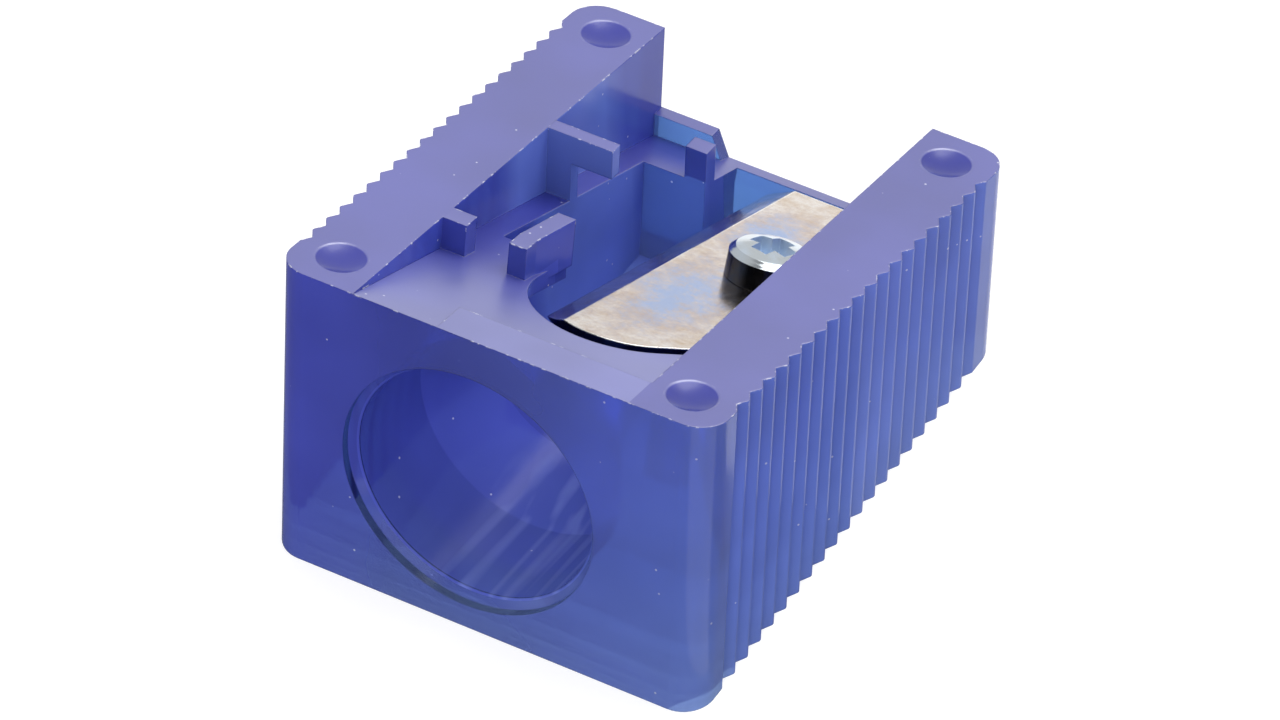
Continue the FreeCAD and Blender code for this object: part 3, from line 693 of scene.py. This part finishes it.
class SHARPENER_OT_screw(bpy.types.Operator):
    """Finish the blade's screw"""

    bl_idname = "sharpener.screw"
    bl_label = "Finish Screw"

    def execute(self, context):
        dress("blade_screw", zinc_plate(context.scene.sharpener_screw))
        return {"FINISHED"}


def set_world():
    """A white room with a dark side in front, where the camera stands. What the camera sees directly or
    through the part is white, gloss finds the dark side too, and elsewhere the light is soft grey."""
    world = bpy.data.worlds.new("studio")
    bpy.context.scene.world = world
    world.use_nodes = True
    tree = world.node_tree
    tree.nodes.clear()
    path = add(tree, "ShaderNodeLightPath").outputs
    way = add(tree, "ShaderNodeTexCoord").outputs
    front = add(
        tree, "ShaderNodeVectorMath",
        {0: way["Generated"], 1: Vector(DARK_SIDE).normalized()},
        operation="DOT_PRODUCT",
    )
    gloss = add(
        tree, "ShaderNodeMapRange",
        {"Value": front, "From Min": 0.2, "From Max": 0.7, "To Min": 1.0, "To Max": 0.03},
        interpolation_type="SMOOTHSTEP",
    )
    glossy = add(tree, "ShaderNodeMix", {"Factor": path["Is Glossy Ray"], "A": 0.7, "B": gloss})
    seen = add(
        tree, "ShaderNodeMath",
        {0: path["Is Camera Ray"], 1: path["Is Transmission Ray"]},
        operation="MAXIMUM",
    )
    strength = add(tree, "ShaderNodeMix", {"Factor": seen, "A": glossy, "B": 1.0})
    light = add(tree, "ShaderNodeBackground", {"Strength": strength})
    add(tree, "ShaderNodeOutputWorld", {"Surface": light})


def paper(colour):
    """Matt white paper: it takes the part's soft shadow and is otherwise as white as the background, also
    through the part. Gloss finds it white behind the part and at the bright corner, and else it is grey."""
    material, tree = new_material("matt_white_paper")
    matt = add(tree, "ShaderNodeBsdfDiffuse", {"Color": opaque([0.5 * c for c in colour])})
    glow = add(tree, "ShaderNodeEmission", {"Color": opaque(colour), "Strength": 0.62})
    white = add(tree, "ShaderNodeAddShader", {0: matt, 1: glow})
    grey = add(tree, "ShaderNodeBsdfDiffuse", {"Color": opaque([0.25 * c for c in colour])})

    path = add(tree, "ShaderNodeLightPath").outputs
    place = add(tree, "ShaderNodeTexCoord").outputs
    spot = add(tree, "ShaderNodeSeparateXYZ", {"Vector": place["Object"]}).outputs
    behind = add(tree, "ShaderNodeMath", {0: spot["Y"], 1: 0.0}, operation="GREATER_THAN")
    right = add(tree, "ShaderNodeMath", {0: spot["X"], 1: BRIGHT_CORNER[0]}, operation="GREATER_THAN")
    ahead = add(tree, "ShaderNodeMath", {0: spot["Y"], 1: BRIGHT_CORNER[1]}, operation="LESS_THAN")
    corner = add(tree, "ShaderNodeMath", {0: right, 1: ahead}, operation="MULTIPLY")
    bright = add(tree, "ShaderNodeMath", {0: behind, 1: corner}, operation="MAXIMUM")
    mirrored = add(tree, "ShaderNodeMath", {0: path["Is Glossy Ray"], 1: bright}, operation="MULTIPLY")
    direct = add(tree, "ShaderNodeMath", {0: path["Is Camera Ray"], 1: mirrored}, operation="MAXIMUM")
    shown = add(tree, "ShaderNodeMath", {0: direct, 1: path["Is Transmission Ray"]}, operation="MAXIMUM")
    mixed = add(tree, "ShaderNodeMixShader", {"Fac": shown, 1: grey, 2: white})
    add(tree, "ShaderNodeOutputMaterial", {"Surface": mixed})
    return material


def add_floor(colour):
    """A wide sheet of paper under the part."""
    bpy.ops.mesh.primitive_plane_add(size=PAPER_WIDTH)
    floor = bpy.context.object
    floor.name = "floor"
    floor.data.materials.append(paper(colour))


def add_area_light(name, place, size, power, mirrored):
    """A square soft box that faces the part, and that gloss may find or not."""
    bpy.ops.object.light_add(type="AREA", location=place)
    lamp = bpy.context.object
    lamp.name = name
    lamp.data.size = size
    lamp.data.energy = power
    lamp.rotation_euler = (Vector(LAMP_AIM) - Vector(place)).to_track_quat("-Z", "Y").to_euler()
    lamp.visible_glossy = mirrored


def add_camera(lens):
    """Camera at the photograph's viewing angle."""
    bpy.ops.object.camera_add()
    camera = bpy.context.object
    camera.name = "camera"
    turn = Matrix(CAMERA_AXES).transposed().to_4x4()
    camera.matrix_world = Matrix.Translation(Vector(CAMERA_PLACE) * MM) @ turn
    camera.data.sensor_width = SENSOR_WIDTH
    camera.data.lens = lens
    camera.data.clip_start = 1 * MM
    bpy.context.scene.camera = camera


class SHARPENER_OT_stage(bpy.types.Operator):
    """Add the floor, the lights and the camera"""

    bl_idname = "sharpener.stage"
    bl_label = "Set Stage"

    def execute(self, context):
        stage = context.scene.sharpener_stage
        bpy.ops.object.select_all(action="DESELECT")
        add_floor(stage.floor_colour)
        set_world()
        for lamp in LAMPS:
            add_area_light(*lamp)
        add_camera(stage.lens)
        context.scene.view_settings.view_transform = "Standard"
        return {"FINISHED"}


class SHARPENER_PT_panel(bpy.types.Panel):
    """Lists the sharpener's finishes and steps"""

    bl_label = "Block Sharpener"
    bl_idname = "SHARPENER_PT_panel"
    bl_space_type = "VIEW_3D"
    bl_region_type = "UI"
    bl_category = "Sharpener"

    def draw(self, context):
        for step, group in STEPS.items():
            self.layout.operator(f"sharpener.{step}")
            for name in group.__annotations__:
                self.layout.prop(getattr(context.scene, f"sharpener_{step}"), name)


# Each step's settings, by the name that its operator and its settings in the scene share.
STEPS = {
    "moulding": MouldingFinish,
    "blade": BladeFinish,
    "screw": ScrewFinish,
    "stage": StageSettings,
}

CLASSES = (
    *STEPS.values(),
    SHARPENER_OT_moulding,
    SHARPENER_OT_blade,
    SHARPENER_OT_screw,
    SHARPENER_OT_stage,
    SHARPENER_PT_panel,
)


def register():
    for item in CLASSES:
        bpy.utils.register_class(item)
    for step, group in STEPS.items():
        setattr(bpy.types.Scene, f"sharpener_{step}", bpy.props.PointerProperty(type=group))


def unregister():
    for step in STEPS:
        delattr(bpy.types.Scene, f"sharpener_{step}")
    for item in reversed(CLASSES):
        bpy.utils.unregister_class(item)


def main():
    register()
    bpy.ops.sharpener.moulding()
    bpy.ops.sharpener.blade()
    bpy.ops.sharpener.screw()
    bpy.ops.sharpener.stage()


if __name__ == "__main__":
    main()
